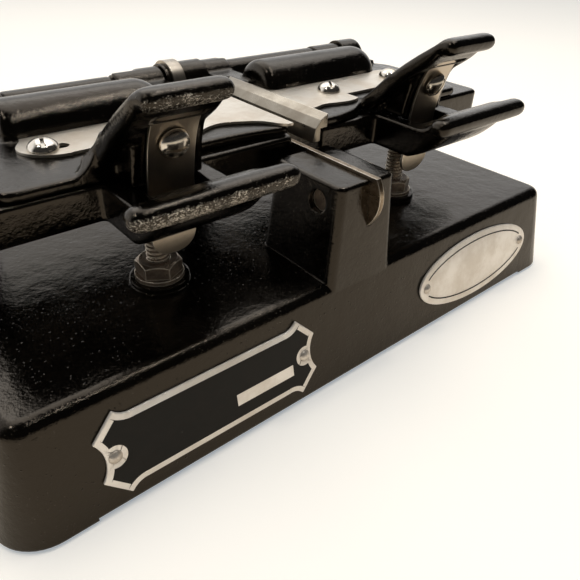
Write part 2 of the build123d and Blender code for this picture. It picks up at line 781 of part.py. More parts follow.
def shear_bar():
    inner = cover_inner_right
    with BuildSketch() as section:
        with BuildLine():
            Polyline((bar_left, film_plane - bar_skirt_drop), (bar_left + bar_skirt_width, film_plane - bar_skirt_drop),
                     (bar_left + bar_skirt_width, cover_bottom), (inner - 0.1, cover_bottom),
                     (inner - 0.1, cover_top + plate_thickness + bar_lip), (bar_crest, film_plane + 0.6),
                     (bar_left, film_plane - bar_skirt_drop))
        make_face()
    bar = extrude(Plane.XZ * section.sketch, bar_rear - bar_front)
    return Pos(0, bar_rear, 0) * bar


def mirrored(shape):
    return mirror(shape, about=Plane.YZ)


save(base_casting, "base_casting")
save(make_ring(), "centre_ring")
save(make_blade(), "centre_blade")
save(make_blade_screw(), "blade_screw")
save(stop_screws, "stop_screws")
save(lock_nuts, "lock_nuts")
save(lock_washers, "lock_washers")
save(rod_along_x(rod_radius, -end_lug_outer - 1.5, end_lug_outer + 1.5, hinge_y, hinge_z), "hinge_rod")
save(nameplate, "nameplate")
save(nameplate_pins, "nameplate_pins")
save(oval_badge, "oval_badge")
save(oval_badge_pins, "oval_badge_pins")

left_side = {
    "leaf": (-leaf_inner_left, inner_corner_left, left_leaf_barrel_start),
    "film": -2.6,
    "cover": (-cover_inner_left, cover_outer_left, inner_corner_left, cover_front_left, upper_arm_left),
    "reach": hump_left_reach,
    "knuckle": (-centre_lug_left + side_gap, left_leaf_barrel_start - side_gap),
    "plate": (-cover_inner_left, plate_front_left, upper_arm_left, bar_rear + 0.4),
    "spots": cover_screw_spots_left,
    "slot": -(screw_head_radius + 0.8),
}
right_side = {
    "leaf": (leaf_inner_right, inner_corner_right, right_leaf_barrel_start),
    "film": leaf_inner_right,
    "cover": (cover_inner_right, cover_outer_right, inner_corner_right, cover_front_right, upper_arm_right),
    "reach": hump_right_reach,
    "knuckle": (centre_lug_right + side_gap, right_leaf_barrel_start - side_gap),
    "plate": (cover_inner_right, plate_front_right, upper_arm_right, plate_rear + 10.0),
    "spots": cover_screw_spots_right,
    "slot": screw_head_radius - 0.8,
}
for side_name, side in (("left", left_side), ("right", right_side)):
    film_inner = side["film"]
    reach = side["reach"]
    pieces = {
        "lower_leaf_": lower_leaf(*side["leaf"], film_inner),
        "film_plate_": film_plate(film_inner),
        "film_pins_": film_pins(film_inner),
        "cover_": cover(*side["cover"], reach, *side["knuckle"], side["spots"]),
        "cover_plate_": cover_plate(*side["plate"], reach, side["spots"], side["slot"]),
        "cover_screws_": cover_screws(side["spots"]),
        "latch_spring_": latch_spring(),
        "latch_screw_": latch_screw(),
    }
    for stem, shape in pieces.items():
        save(shape if side_name == "right" else mirrored(shape), stem + side_name)
save(shear_bar(), "shear_bar")
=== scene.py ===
import json
import math

import bpy
from mathutils import Matrix, Vector


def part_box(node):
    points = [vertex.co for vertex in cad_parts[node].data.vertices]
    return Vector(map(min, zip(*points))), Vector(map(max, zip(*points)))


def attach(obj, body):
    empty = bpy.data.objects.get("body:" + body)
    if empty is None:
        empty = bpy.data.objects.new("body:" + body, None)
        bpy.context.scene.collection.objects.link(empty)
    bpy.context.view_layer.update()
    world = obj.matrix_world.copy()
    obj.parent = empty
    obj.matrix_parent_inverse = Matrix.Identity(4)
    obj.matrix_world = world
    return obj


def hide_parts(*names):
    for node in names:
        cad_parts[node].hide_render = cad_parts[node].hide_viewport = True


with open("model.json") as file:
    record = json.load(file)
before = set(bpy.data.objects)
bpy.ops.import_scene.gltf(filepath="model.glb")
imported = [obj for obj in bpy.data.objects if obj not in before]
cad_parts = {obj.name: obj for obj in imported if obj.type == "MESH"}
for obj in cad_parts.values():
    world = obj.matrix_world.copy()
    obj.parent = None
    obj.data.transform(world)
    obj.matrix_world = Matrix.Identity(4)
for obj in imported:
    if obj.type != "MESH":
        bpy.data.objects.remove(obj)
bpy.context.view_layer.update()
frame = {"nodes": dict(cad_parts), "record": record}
nodes = frame["nodes"]
bodyOf = {node: body for body, members in frame["record"]["behaviour"]["bodies"].items() for node in members}
print("frame loaded:", len(nodes), "nodes")


# selecting and editing

def makeActive(piece):
    if bpy.context.object and bpy.context.object.mode != "OBJECT":
        bpy.ops.object.mode_set(mode="OBJECT")
    bpy.ops.object.select_all(action="DESELECT")
    piece.select_set(True)
    bpy.context.view_layer.objects.active = piece


def startEdit(piece, mode="FACE"):
    makeActive(piece)
    bpy.ops.object.mode_set(mode="EDIT")
    bpy.ops.mesh.select_mode(type=mode)
    bpy.ops.mesh.select_all(action="DESELECT")


def endEdit():
    bpy.ops.object.mode_set(mode="OBJECT")


def selectFaces(piece, wanted):
    startEdit(piece)
    endEdit()
    for face in piece.data.polygons:
        face.select = wanted(face)
    bpy.ops.object.mode_set(mode="EDIT")


def selectPoints(piece, wanted):
    startEdit(piece, "VERT")
    endEdit()
    for point in piece.data.vertices:
        point.select = wanted(point.co)
    bpy.ops.object.mode_set(mode="EDIT")


def applyModifiers(piece):
    makeActive(piece)
    for modifier in list(piece.modifiers):
        bpy.ops.object.modifier_apply(modifier=modifier.name)


def bevelEdges(piece, width, segments=2, angle=35.0):
    bevel = piece.modifiers.new("softEdge", "BEVEL")
    bevel.width = width
    bevel.segments = segments
    bevel.limit_method = "ANGLE"
    bevel.angle_limit = math.radians(angle)
    applyModifiers(piece)


def cutWith(piece, tool):
    cut = piece.modifiers.new("cut", "BOOLEAN")
    cut.operation = "DIFFERENCE"
    cut.object = tool
    cut.solver = "EXACT"
    applyModifiers(piece)
    bpy.data.objects.remove(tool)


def settle(piece):
    makeActive(piece)
    bpy.ops.object.transform_apply(location=True, rotation=True, scale=True)


def turnPiece(piece, angle, axis):
    piece.data.transform(Matrix.Rotation(math.radians(angle), 4, axis))


def joinPieces(pieces, name):
    makeActive(pieces[0])
    for piece in pieces:
        piece.select_set(True)
    bpy.ops.object.join()
    joined = bpy.context.object
    joined.name = name
    joined.data.name = name
    return joined


def copyOfNode(nodeName, pieceName):
    source = nodes[nodeName]
    piece = source.copy()
    piece.data = source.data.copy()
    piece.name = pieceName
    piece.data.name = pieceName
    for key in list(piece.keys()):
        del piece[key]
    piece.parent = None
    bpy.context.scene.collection.objects.link(piece)
    startEdit(piece)
    bpy.ops.mesh.select_all(action="SELECT")
    bpy.ops.mesh.remove_doubles(threshold=0.00001)
    endEdit()
    return piece


def useMaterial(piece, material):
    piece.data.materials.clear()
    piece.data.materials.append(material)
    for face in piece.data.polygons:
        face.material_index = 0


def seat(piece, nodeName):
    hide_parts(nodeName)
    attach(piece, bodyOf[nodeName])


def smoothByAngle(piece, angle=40.0):
    makeActive(piece)
    bpy.ops.object.shade_smooth_by_angle(angle=math.radians(angle))


def addCylinder(name, radius, low, high, sides=48):
    bpy.ops.object.select_all(action="DESELECT")
    bpy.ops.mesh.primitive_cylinder_add(vertices=sides, radius=radius, depth=high - low,
                                        location=(0, 0, (low + high) / 2))
    piece = bpy.context.object
    piece.name = name
    settle(piece)
    return piece


def addBlock(name, low, high):
    bpy.ops.object.select_all(action="DESELECT")
    bpy.ops.mesh.primitive_cube_add(size=1.0, location=[(a + b) / 2 for a, b in zip(low, high)])
    piece = bpy.context.object
    piece.name = name
    piece.scale = [b - a for a, b in zip(low, high)]
    settle(piece)
    return piece


# node trees

def newMaterial(name):
    material = bpy.data.materials.new(name)
    material.use_nodes = True
    tree = material.node_tree
    place = tree.nodes.new("ShaderNodeTexCoord")
    place.name = "place"
    return material, tree, tree.nodes["Principled BSDF"]


def plug(tree, value, socket):
    if isinstance(value, tuple):
        socket.default_value = (*value, 1.0) if len(value) == 3 and socket.type == "RGBA" else value
    elif isinstance(value, (int, float)):
        socket.default_value = value
    else:
        tree.links.new(value, socket)


def position(tree, stretch=(1, 1, 1)):
    mapping = tree.nodes.new("ShaderNodeMapping")
    mapping.inputs["Scale"].default_value = stretch
    tree.links.new(tree.nodes["place"].outputs["Object"], mapping.inputs["Vector"])
    return mapping.outputs["Vector"]


def noise(tree, scale, detail=3.0, rough=0.5, stretch=(1, 1, 1)):
    node = tree.nodes.new("ShaderNodeTexNoise")
    node.inputs["Scale"].default_value = scale
    node.inputs["Detail"].default_value = detail
    node.inputs["Roughness"].default_value = rough
    tree.links.new(position(tree, stretch), node.inputs["Vector"])
    return node.outputs["Fac"]


def remap(tree, source, low, high, atLow=0.0, atHigh=1.0):
    node = tree.nodes.new("ShaderNodeMapRange")
    node.interpolation_type = "SMOOTHSTEP"
    plug(tree, source, node.inputs["Value"])
    for socket, value in (("From Min", low), ("From Max", high), ("To Min", atLow), ("To Max", atHigh)):
        node.inputs[socket].default_value = value
    return node.outputs["Result"]


def calculate(tree, how, first, second=0.0):
    node = tree.nodes.new("ShaderNodeMath")
    node.operation = how
    plug(tree, first, node.inputs[0])
    plug(tree, second, node.inputs[1])
    return node.outputs["Value"]


def mixColour(tree, factor, first, second):
    node = tree.nodes.new("ShaderNodeMix")
    node.data_type = "RGBA"
    plug(tree, factor, node.inputs["Factor"])
    plug(tree, first, node.inputs[6])
    plug(tree, second, node.inputs[7])
    return node.outputs[2]


def bump(tree, height, depth, strength, before=None):
    node = tree.nodes.new("ShaderNodeBump")
    node.inputs["Strength"].default_value = strength
    node.inputs["Distance"].default_value = depth
    plug(tree, height, node.inputs["Height"])
    if before is not None:
        tree.links.new(before, node.inputs["Normal"])
    return node.outputs["Normal"]


def roundedNormal(tree, radius):
    node = tree.nodes.new("ShaderNodeBevel")
    node.samples = 6
    node.inputs["Radius"].default_value = radius
    return node.outputs["Normal"]


def edgeMask(tree, radius, low=0.004, high=0.08):
    # 1 along sharp edges, 0 on open faces
    geometry = tree.nodes.new("ShaderNodeNewGeometry")
    dot = tree.nodes.new("ShaderNodeVectorMath")
    dot.operation = "DOT_PRODUCT"
    tree.links.new(roundedNormal(tree, radius), dot.inputs[0])
    tree.links.new(geometry.outputs["Normal"], dot.inputs[1])
    gap = calculate(tree, "SUBTRACT", 1.0, dot.outputs["Value"])
    return remap(tree, gap, low, high)


def coordinate(tree, axis):
    split = tree.nodes.new("ShaderNodeSeparateXYZ")
    tree.links.new(tree.nodes["place"].outputs["Object"], split.inputs["Vector"])
    return split.outputs[axis]


def facing(tree, direction):
    dot = tree.nodes.new("ShaderNodeVectorMath")
    dot.operation = "DOT_PRODUCT"
    tree.links.new(tree.nodes["place"].outputs["Normal"], dot.inputs[0])
    dot.inputs[1].default_value = direction
    return dot.outputs["Value"]


# stoved enamel over sand castings

tabWear = {
    "facing": (-0.30, -0.74, -0.60),      # side of the tabs that fingers rub
    "lowTab": (-0.0435, -0.0462),         # from where to where along Y the wear comes in
    "highTab": (-0.0365, -0.0395),
    "highTabLevel": (0.0815, 0.0850),
    "highTabShare": 0.72,
    "across": (0.03, -0.060),             # the left tabs are worn more than the right ones
    "acrossAmount": (0.20, 1.15),
    "bareDark": (0.045, 0.035, 0.024),
    "bareLight": (0.86, 0.79, 0.68),
    "metallic": 0.35,
    "dullness": 0.14,
    "pitDepth": 0.00018,
}


def leanDown(tree, normal):
    # the moulding draft of the upright front faces
    front = remap(tree, facing(tree, (0.0, -1.0, 0.0)), 0.93, 0.99)
    lean = tree.nodes.new("ShaderNodeCombineXYZ")
    plug(tree, calculate(tree, "MULTIPLY", front, -0.15), lean.inputs["Z"])
    total = tree.nodes.new("ShaderNodeVectorMath")
    total.operation = "ADD"
    tree.links.new(normal, total.inputs[0])
    tree.links.new(lean.outputs["Vector"], total.inputs[1])
    even = tree.nodes.new("ShaderNodeVectorMath")
    even.operation = "NORMALIZE"
    tree.links.new(total.outputs["Vector"], even.inputs[0])
    return even.outputs["Vector"]


enamel = {
    "colour": (0.0006, 0.0005, 0.0004),
    "warmColour": (0.0015, 0.0011, 0.0007),
    # warm tint on every reflection of the enamel: a painted warm reflection
    "warmReflectionTint": (1.0, 0.86, 0.70),
    "grainScale": 980.0,      # sand marks under the coat
    "grainDepth": 0.00017,
    "fineScale": 1900.0,      # orange peel
    "fineDepth": 0.00003,
    "waveScale": 110.0,        # slow waviness of the thick coat
    "waveDepth": 0.0006,
    "roughLow": 0.09,
    "roughHigh": 0.20,
    "edge": 0.0007,
}


def makeEnamel(name, wornTabs=False):
    material, tree, shader = newMaterial(name)
    grain = noise(tree, enamel["grainScale"], 4.0, 0.6)
    fine = noise(tree, enamel["fineScale"], 2.0, 0.5)
    wave = noise(tree, enamel["waveScale"], 2.0, 0.5)
    patch = noise(tree, 42.0, 4.0, 0.65)
    pimple = remap(tree, noise(tree, 1250.0, 1.0, 0.4), 0.68, 0.80)
    normal = roundedNormal(tree, enamel["edge"])
    if wornTabs:
        normal = leanDown(tree, normal)
    normal = bump(tree, wave, enamel["waveDepth"], 0.5, normal)
    normal = bump(tree, grain, enamel["grainDepth"], 0.5, normal)
    normal = bump(tree, fine, enamel["fineDepth"], 0.5, normal)
    normal = bump(tree, pimple, 0.00010, 0.6, normal)
    colour = mixColour(tree, remap(tree, patch, 0.42, 0.70), enamel["colour"], enamel["warmColour"])
    rough = remap(tree, patch, 0.35, 0.75, enamel["roughLow"], enamel["roughHigh"])
    dust = calculate(tree, "MULTIPLY", remap(tree, noise(tree, 2600.0, 1.0, 0.4), 0.70, 0.76),
                     remap(tree, patch, 0.5, 0.66))
    colour = mixColour(tree, calculate(tree, "MULTIPLY", dust, 0.35), colour, (0.30, 0.27, 0.22))
    if wornTabs:
        front = remap(tree, facing(tree, tabWear["facing"]), 0.10, 0.78)
        lowTab = remap(tree, coordinate(tree, "Y"), *tabWear["lowTab"])
        highTab = calculate(tree, "MULTIPLY", remap(tree, coordinate(tree, "Z"), *tabWear["highTabLevel"]),
                            remap(tree, coordinate(tree, "Y"), *tabWear["highTab"]))
        highTab = calculate(tree, "MULTIPLY", highTab, tabWear["highTabShare"])
        leftward = remap(tree, coordinate(tree, "X"), *tabWear["across"], *tabWear["acrossAmount"])
        zone = calculate(tree, "MULTIPLY", front, calculate(tree, "MAXIMUM", lowTab, highTab))
        zone = calculate(tree, "MULTIPLY", zone, leftward)
        chips = remap(tree, noise(tree, 260.0, 7.0, 0.75, (0.7, 1, 1)), 0.42, 0.62)
        specks = remap(tree, noise(tree, 2900.0, 4.0, 0.75, (0.6, 1, 1)), 0.46, 0.60)
        marks = calculate(tree, "ADD", calculate(tree, "MULTIPLY", chips, 0.70),
                          calculate(tree, "MULTIPLY", specks, 0.60))
        worn = remap(tree, calculate(tree, "MULTIPLY", zone, marks), 0.24, 0.62)
        speckle = remap(tree, noise(tree, 3800.0, 3.0, 0.7, (0.6, 1, 1)), 0.44, 0.62)
        bare = mixColour(tree, speckle, tabWear["bareDark"], tabWear["bareLight"])
        colour = mixColour(tree, worn, colour, bare)
        plug(tree, calculate(tree, "MULTIPLY", worn, tabWear["metallic"]), shader.inputs["Metallic"])
        rough = calculate(tree, "ADD", rough, calculate(tree, "MULTIPLY", worn, tabWear["dullness"]))
        normal = bump(tree, calculate(tree, "MULTIPLY", speckle, worn), tabWear["pitDepth"], 0.8, normal)
    plug(tree, colour, shader.inputs["Base Color"])
    plug(tree, rough, shader.inputs["Roughness"])
    plug(tree, normal, shader.inputs["Normal"])
    # every reflection of the enamel tinted warm: painted reflection colour
    plug(tree, (*enamel["warmReflectionTint"], 1.0), shader.inputs["Specular Tint"])
    return material


def makeMetal(name, light, dark, rough, grain, stretch, patchScale=90.0, edge=0.00025, edgeWearAndSheenColour=None,
              metallic=1.0):
    material, tree, shader = newMaterial(name)
    brushed = noise(tree, 900.0, 5.0, 0.65, stretch)
    patch = noise(tree, patchScale, 5.0, 0.65)
    stain = remap(tree, patch, 0.36, 0.68)
    colour = mixColour(tree, stain, light, dark)
    fleck = remap(tree, noise(tree, 1400.0, 3.0, 0.6), 0.62, 0.74)
    colour = mixColour(tree, calculate(tree, "MULTIPLY", fleck, 0.35), colour, dark)
    # lighter colour along sharp edges, broken up by a patch noise: partly edge wear, partly a painted
    # highlight along the edges
    if edgeWearAndSheenColour:
        uneven = remap(tree, patch, 0.30, 0.55, 0.35, 1.0)
        worn = calculate(tree, "MULTIPLY", edgeMask(tree, edge * 1.6), uneven)
        colour = mixColour(tree, worn, colour, edgeWearAndSheenColour)
    low, high = rough
    mixedRough = calculate(tree, "ADD", calculate(tree, "MULTIPLY", brushed, 0.5),
                           calculate(tree, "MULTIPLY", patch, 0.5))
    plug(tree, colour, shader.inputs["Base Color"])
    plug(tree, remap(tree, mixedRough, 0.35, 0.65, low, high), shader.inputs["Roughness"])
    plug(tree, bump(tree, brushed, grain, 0.5, roundedNormal(tree, edge)), shader.inputs["Normal"])
    shader.inputs["Metallic"].default_value = metallic
    return material


metals = {
    "satinNickel": {"light": (0.76, 0.71, 0.63), "dark": (0.62, 0.55, 0.46), "rough": (0.32, 0.46),
                    "grain": 0.00002, "stretch": (0.15, 1.6, 1)},
    # the shear bar's nickel at about half the film plates' tone: painted shade over the whole bar, and its
    # lighter edges are a painted highlight
    "shadedBarNickel": {"light": (0.37, 0.335, 0.28), "dark": (0.27, 0.235, 0.19), "rough": (0.24, 0.36),
                  "grain": 0.00002, "stretch": (1.6, 0.12, 1), "edgeWearAndSheenColour": (0.74, 0.69, 0.60)},
    "screwNickel": {"light": (0.86, 0.81, 0.73), "dark": (0.62, 0.56, 0.48), "rough": (0.12, 0.26),
                    "grain": 0.00004, "stretch": (1, 1, 1)},
    "ringNickel": {"light": (0.50, 0.45, 0.385), "dark": (0.34, 0.30, 0.25), "rough": (0.24, 0.38),
                   "grain": 0.00002, "stretch": (1.5, 0.2, 0.2)},
    "springSteel": {"light": (0.58, 0.505, 0.41), "dark": (0.46, 0.395, 0.315), "rough": (0.28, 0.32),
                    "grain": 0.000004, "stretch": (1.6, 1, 0.12), "edgeWearAndSheenColour": (0.92, 0.86, 0.76)},
    "oiledSteel": {"light": (0.30, 0.235, 0.175), "dark": (0.13, 0.10, 0.075), "rough": (0.24, 0.42),
                   "grain": 0.00004, "stretch": (1, 1, 0.5), "patchScale": 240.0, "edge": 0.0003,
                   "edgeWearAndSheenColour": (0.95, 0.85, 0.70), "metallic": 0.75},
    "rodSteel": {"light": (0.09, 0.078, 0.065), "dark": (0.035, 0.030, 0.025), "rough": (0.24, 0.44),
                 "grain": 0.00003, "stretch": (0.3, 1, 1)},
    "bladeSteel": {"light": (0.36, 0.29, 0.215), "dark": (0.13, 0.09, 0.055), "rough": (0.22, 0.42),
                   "grain": 0.00003, "stretch": (1, 0.1, 1), "patchScale": 200.0,
                   "edgeWearAndSheenColour": (0.80, 0.74, 0.64)},
    "pinSteel": {"light": (0.84, 0.79, 0.72), "dark": (0.56, 0.50, 0.43), "rough": (0.30, 0.46),
                 "grain": 0.00002, "stretch": (1, 1, 1), "patchScale": 300.0, "metallic": 0.75},
    "badgeSilver": {"light": (0.95, 0.91, 0.85), "dark": (0.80, 0.74, 0.66), "rough": (0.34, 0.50),
                    "grain": 0.000015, "stretch": (0.15, 1, 1.4), "metallic": 0.55},
}
blackEnamel = makeEnamel("blackEnamel")
tabEnamel = makeEnamel("wornTabEnamel", True)
nickel = makeMetal("satinNickel", **metals["satinNickel"])
shadedBarNickel = makeMetal("shadedBarNickel", **metals["shadedBarNickel"])
screwNickel = makeMetal("screwNickel", **metals["screwNickel"])
ringNickel = makeMetal("ringNickel", **metals["ringNickel"])
springSteel = makeMetal("springSteel", **metals["springSteel"])
oiledSteel = makeMetal("oiledSteel", **metals["oiledSteel"])
rodSteel = makeMetal("rodSteel", **metals["rodSteel"])
bladeSteel = makeMetal("bladeSteel", **metals["bladeSteel"])
pinSteel = makeMetal("pinSteel", **metals["pinSteel"])
badgeSilver = makeMetal("badgeSilver", **metals["badgeSilver"])


badgeField = {
    "colour": (0.0040, 0.0040, 0.0034),
    "fadedColour": (0.0085, 0.0075, 0.0060),
    "rubbedColour": (0.30, 0.27, 0.24),
}


def makeBadgeEnamel():
    material, tree, shader = newMaterial("badgeEnamel")
    patch = noise(tree, 160.0, 4.0, 0.6)
    fine = noise(tree, 2200.0, 3.0, 0.6)
    colour = mixColour(tree, remap(tree, patch, 0.35, 0.7), badgeField["colour"], badgeField["fadedColour"])
    rub = remap(tree, noise(tree, 700.0, 6.0, 0.8), 0.64, 0.76)
    colour = mixColour(tree, calculate(tree, "MULTIPLY", rub, 0.12), colour, badgeField["rubbedColour"])
    plug(tree, colour, shader.inputs["Base Color"])
    plug(tree, remap(tree, patch, 0.3, 0.7, 0.30, 0.45), shader.inputs["Roughness"])
    plug(tree, bump(tree, fine, 0.00002, 0.4), shader.inputs["Normal"])
    shader.inputs["Specular IOR Level"].default_value = 0.2
    return material


badgeEnamel = makeBadgeEnamel()
print("materials made")


# leaves and covers: every edge and joint rounded as a sand casting leaves it

castings = {
    "leafVoxel": 0.00055,
    "coverVoxel": 0.00050,
    "rounds": 6,
    "meltRounds": 55,         # the tabs melt into their arms
    "lowTabMelt": (-0.0330, -0.0420),
    "highTabMelt": (0.0660, 0.0820),
    "highTabBack": -0.0200,
    "boreRadius": 0.00315,    # reamed for the hinge rod after the skin is made
    "boreSpot": (0.0, 0.0465, 0.0651),
}


def lowTabWeight(co):
    start, end = castings["lowTabMelt"]
    return (co.y - start) / (end - start)


def highTabWeight(co):
    start, end = castings["highTabMelt"]
    return (co.z - start) / (end - start) if co.y < castings["highTabBack"] else 0.0


def makeCasting(nodeName, pieceName, voxel, tabWeight):
    piece = copyOfNode(nodeName, pieceName)
    remesh = piece.modifiers.new("skin", "REMESH")
    remesh.mode = "VOXEL"
    remesh.voxel_size = voxel
    soften = piece.modifiers.new("soften", "SMOOTH")
    soften.factor = 0.5
    soften.iterations = castings["rounds"]
    applyModifiers(piece)
    group = piece.vertex_groups.new(name="tab")
    for point in piece.data.vertices:
        weight = min(1.0, tabWeight(point.co))
        if weight > 0.0:
            group.add([point.index], weight, "REPLACE")
    melt = piece.modifiers.new("melt", "SMOOTH")
    melt.factor = 0.5
    melt.iterations = castings["meltRounds"]
    melt.vertex_group = "tab"
    applyModifiers(piece)
    reamer = addCylinder("reamer", castings["boreRadius"], -0.1, 0.1, 64)
    turnPiece(reamer, 90.0, "Y")
    reamer.location = castings["boreSpot"]
    settle(reamer)
    cutWith(piece, reamer)
    makeActive(piece)
    bpy.ops.object.shade_smooth()
    useMaterial(piece, tabEnamel)
    seat(piece, nodeName)
    print(pieceName, len(piece.data.polygons), "faces")
    return piece


for side in ("left", "right"):
    makeCasting("lower_leaf_" + side, "leafCasting_" + side, castings["leafVoxel"],
                lowTabWeight)
    makeCasting("cover_" + side, "coverCasting_" + side, castings["coverVoxel"],
                highTabWeight)


# slotted round-head screws

roundScrew = {
    "headRadius": 0.0039,
    "headHeight": 0.0028,
    "shankRadius": 0.0015,
    "slotWidth": 0.0009,
    "slotDepth": 0.0013,
    "edge": 0.00012,
    "coverShank": 0.0030,
    "latchShank": 0.0042,
    "latchLean": 18.4,        # degrees that the latch screws point below level
    "latchReach": 0.00280,    # from the front of the head back to its seat
    "coverTurns": {"left": (74.0, 40.0), "right": (62.0, 110.0)},
    "latchTurns": {"left": 4.0, "right": 58.0},
}


def makeRoundScrew(name, shankLength):
    bpy.ops.object.select_all(action="DESELECT")
    bpy.ops.mesh.primitive_uv_sphere_add(segments=56, ring_count=28, radius=roundScrew["headRadius"])
    head = bpy.context.object
    head.name = name
    head.scale = (1, 1, roundScrew["headHeight"] / roundScrew["headRadius"])
    settle(head)
    startEdit(head)
    bpy.ops.mesh.select_all(action="SELECT")
    bpy.ops.mesh.bisect(plane_co=(0, 0, 0), plane_no=(0, 0, 1), clear_inner=True, use_fill=True)
    endEdit()
    selectFaces(head, lambda face: face.normal.z < -0.9)
    bpy.ops.mesh.inset(thickness=roundScrew["headRadius"] - roundScrew["shankRadius"])
    bpy.ops.mesh.extrude_region_move(TRANSFORM_OT_translate={"value": (0, 0, -shankLength)})
    endEdit()
    wide = roundScrew["headRadius"] * 1.2
    half = roundScrew["slotWidth"] / 2
    top = roundScrew["headHeight"]
    floor = top - roundScrew["slotDepth"]
    cutWith(head, addBlock("slotTool", (-wide, -half, floor), (wide, half, top * 1.5)))
    bevelEdges(head, roundScrew["edge"])
    useMaterial(head, screwNickel)
    smoothByAngle(head)
    return head


def placeCopy(original, name, spot, turn=0.0, tilt=0.0):
    piece = original.copy()
    piece.data = original.data.copy()
    piece.name = name
    bpy.context.scene.collection.objects.link(piece)
    turnPiece(piece, turn, "Z")
    turnPiece(piece, tilt, "X")
    piece.location = spot
    settle(piece)
    return piece


def makeCoverScrews(side, model):
    name = "cover_screws_" + side
    low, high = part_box(name)
    reach = roundScrew["headRadius"]
    seatZ = high.z - roundScrew["headHeight"]
    spots = ((low.x + reach, low.y + reach, seatZ), (high.x - reach, high.y - reach, seatZ))
    pair = [placeCopy(model, "coverScrew", spot, turn)
            for spot, turn in zip(spots, roundScrew["coverTurns"][side])]
    seat(joinPieces(pair, "coverScrews_" + side), name)


def makeLatchScrew(side, model):
    name = "latch_screw_" + side
    low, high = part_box(name)
    lean = math.radians(roundScrew["latchLean"])
    level = high.z - roundScrew["headRadius"] * math.cos(lean)
    spot = ((low.x + high.x) / 2, low.y + roundScrew["latchReach"], level)
    piece = placeCopy(model, "latchScrewHead_" + side, spot, roundScrew["latchTurns"][side],
                      90.0 + roundScrew["latchLean"])
    seat(piece, name)


coverScrewModel = makeRoundScrew("coverScrewModel", roundScrew["coverShank"])
latchScrewModel = makeRoundScrew("latchScrewModel", roundScrew["latchShank"])
for side in ("left", "right"):
    makeCoverScrews(side, coverScrewModel)
    makeLatchScrew(side, latchScrewModel)
for model in (coverScrewModel, latchScrewModel):
    bpy.data.objects.remove(model)
print("screws made")


# stop screws with a real thread

stopScrew = {
    "pitch": 0.00127,         # 20 turns to the inch
    "root": 0.00258,
    "crest": 0.003175,
    "steps": 28,
}


def makeStopScrew(spot, low, high):
    turns = math.ceil((high - low) / stopScrew["pitch"]) + 2
    bpy.ops.object.select_all(action="DESELECT")
    bpy.ops.mesh.primitive_plane_add(size=0.001)
    thread = bpy.context.object
    thread.name = "stopScrew"
    startEdit(thread, "VERT")
    bpy.ops.mesh.select_all(action="SELECT")
    bpy.ops.mesh.delete(type="VERT")
    endEdit()
    pitch = stopScrew["pitch"]
    outline = [(stopScrew["root"], 0, 0), (stopScrew["root"], 0, pitch * 0.12),
               (stopScrew["crest"], 0, pitch * 0.50), (stopScrew["crest"], 0, pitch * 0.62),
               (stopScrew["root"], 0, pitch)]
    thread.data.from_pydata(outline, [(i, i + 1) for i in range(len(outline) - 1)], [])
    winding = thread.modifiers.new("winding", "SCREW")
    winding.axis = "Z"
    winding.screw_offset = pitch
    winding.iterations = turns
    winding.steps = stopScrew["steps"]
    winding.render_steps = stopScrew["steps"]
    winding.use_merge_vertices = True
    applyModifiers(thread)
    startEdit(thread)
    bpy.ops.mesh.select_all(action="SELECT")
    bpy.ops.mesh.remove_doubles(threshold=0.000005)
    start = pitch * 1.5
    for level, upward in ((start, True), (start + high - low, False)):
        bpy.ops.mesh.select_all(action="SELECT")
        bpy.ops.mesh.bisect(plane_co=(0, 0, level), plane_no=(0, 0, 1), clear_inner=upward,
                            clear_outer=not upward, use_fill=True)
    bpy.ops.mesh.select_all(action="SELECT")
    bpy.ops.mesh.normals_make_consistent(inside=False)
    endEdit()
    thread.location = (spot[0], spot[1], low - start)
    settle(thread)
    return thread


low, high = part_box("stop_screws")
reach = (high.y - low.y) / 2
stopSpots = [(low.x + reach, (low.y + high.y) / 2), (high.x - reach, (low.y + high.y) / 2)]
pair = joinPieces([makeStopScrew(spot, low.z, high.z) for spot in stopSpots], "stopScrews")
useMaterial(pair, oiledSteel)
smoothByAngle(pair, 32.0)
seat(pair, "stop_screws")
print("stop screws made")


# shear bar: a folded crest along its cutting side

shearBar = {"creaseX": 0.0087, "lift": (-0.0002, 0.0, 0.00055), "edge": 0.00022}


def makeShearBar():
    bar = copyOfNode("shear_bar", "shearBarCrest")
    startEdit(bar)
    bpy.ops.mesh.select_all(action="SELECT")
    bpy.ops.mesh.dissolve_limited(angle_limit=math.radians(2))
    bpy.ops.mesh.select_all(action="SELECT")
    bpy.ops.mesh.bisect(plane_co=(shearBar["creaseX"], 0, 0), plane_no=(1, 0, 0))
    endEdit()
    middle = sum(point.co.z for point in bar.data.vertices) / len(bar.data.vertices)
    selectPoints(bar, lambda co: abs(co.x - shearBar["creaseX"]) < 0.00005 and co.z > middle)
    bpy.ops.transform.translate(value=shearBar["lift"])
    endEdit()
    bevelEdges(bar, shearBar["edge"], 3, 12.0)
    useMaterial(bar, shadedBarNickel)
    smoothByAngle(bar, 30.0)
    seat(bar, "shear_bar")


makeShearBar()
print("shear bar made")


# badges: blank, with a plain border and nothing written on them

badges = {
    "slope": 12.0,            # lean of the front face, in degrees
    "border": 0.00165,
    "fieldHeight": 0.00007,
    "lobe": 0.0030,
    "pinHole": 0.0009,
    "rule": 0.00045,          # line round the oval
    "ruleInset": 0.0021,
    "stripCentre": (0.0144, -0.0026),
    "stripSize": (0.0190, 0.0034),
}
frontNormal = Vector((0.0, -math.cos(math.radians(badges["slope"])), math.sin(math.radians(badges["slope"]))))
frontUp = Vector((0.0, math.sin(math.radians(badges["slope"])), math.cos(math.radians(badges["slope"]))))


def badgeMiddle(nodeName, plate):
    low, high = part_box(nodeName)
    top = max(point.co.dot(frontNormal) for point in plate.data.vertices)
    middle = (low + high) / 2
    return middle + frontNormal * (top - middle.dot(frontNormal))


def pinPlaces(nodeName, middle):
    low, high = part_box(nodeName)
    reach = (high.x - low.x) / 2 - 0.0017
    return [middle + Vector((side * reach, 0, 0)) for side in (-1, 1)]


